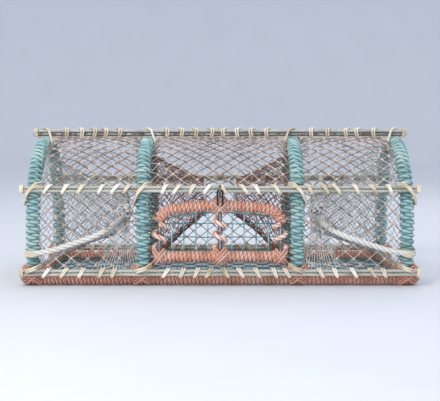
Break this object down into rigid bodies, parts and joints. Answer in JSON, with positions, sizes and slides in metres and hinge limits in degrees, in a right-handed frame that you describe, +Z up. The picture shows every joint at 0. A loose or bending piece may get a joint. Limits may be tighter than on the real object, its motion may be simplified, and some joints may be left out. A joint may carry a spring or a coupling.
{
  "type": "lobster trap",
  "caption": "Half-round netted lobster pot with rope-wound bows, entrance funnels at both ends, a laced mesh door and a mesh floor.",
  "frame": {"origin": "middle of the footprint at floor level", "axes": "+X along the pot, +Y from the door side to the back, +Z up"},
  "size_m": [1.132, 0.5534, 0.441],
  "materials": {
    "turquoise_rope": "rope-wound",
    "orange_rope": "rope-wound",
    "cream_rope": "weathered",
    "net_twine": "knotted",
    "teal_mesh": "weathered",
    "white_net": "fine net",
    "brown_net": "fine net",
    "white_rope": "laid",
    "orange_line": "laid",
    "steel": "galvanised, weathered",
    "rubber": "matt"
  },
  "bodies": {
    "pot": {"base_front_serving": "orange_rope", "base_left_serving": "orange_rope", "base_rear_serving": "orange_rope", "base_right_serving": "orange_rope", "bow_1": "turquoise_rope", "bow_2": "turquoise_rope", "bow_3": "turquoise_rope", "bow_4": "turquoise_rope", "floor_mesh": "teal_mesh", "front_base_head_ropes": "cream_rope", "front_base_rod": "steel", "front_side_head_ropes": "cream_rope", "front_side_rod": "steel", "latch_hook": "steel", "left_bunch": "white_net", "left_entrance_net": "white_net", "left_entrance_ring": "white_rope", "left_front_net": "net_twine", "left_front_roof_net_high": "net_twine", "left_front_roof_net_low": "net_twine", "left_parlour_net": "brown_net", "left_parlour_ring": "white_rope", "left_rear_net": "net_twine", "left_rear_roof_net_high": "net_twine", "left_rear_roof_net_low": "net_twine", "left_white_rope": "white_rope", "middle_front_roof_net_high": "net_twine", "middle_front_roof_net_low": "net_twine", "middle_rear_net": "net_twine", "middle_rear_roof_net_high": "net_twine", "middle_rear_roof_net_low": "net_twine", "rear_base_head_ropes": "cream_rope", "rear_base_rod": "steel", "rear_side_head_ropes": "cream_rope", "rear_side_rod": "steel", "ridge_head_ropes": "cream_rope", "ridge_rod": "steel", "right_bunch": "white_net", "right_entrance_net": "white_net", "right_entrance_ring": "white_rope", "right_front_net": "net_twine", "right_front_roof_net_high": "net_twine", "right_front_roof_net_low": "net_twine", "right_parlour_net": "brown_net", "right_parlour_ring": "white_rope", "right_rear_net": "net_twine", "right_rear_roof_net_high": "net_twine", "right_rear_roof_net_low": "net_twine", "right_white_rope": "white_rope", "stretch_line": "orange_line"},
    "door": {"door_centre_lacing": "orange_rope", "door_frame": "steel", "door_left_lacing": "orange_rope", "door_mesh": "teal_mesh", "door_right_lacing": "orange_rope", "door_sill_serving": "orange_rope", "door_top_serving": "orange_rope", "latch_band": "rubber"}
  },
  "joints": [
    {"name": "door_hinge", "type": "hinge", "parent": "pot", "child": "door", "pos_m": [0, -0.23, 0.08], "axis": [1, 0, 0], "range_deg": [0, 100], "deforming": ["latch_band"]}
  ]
}
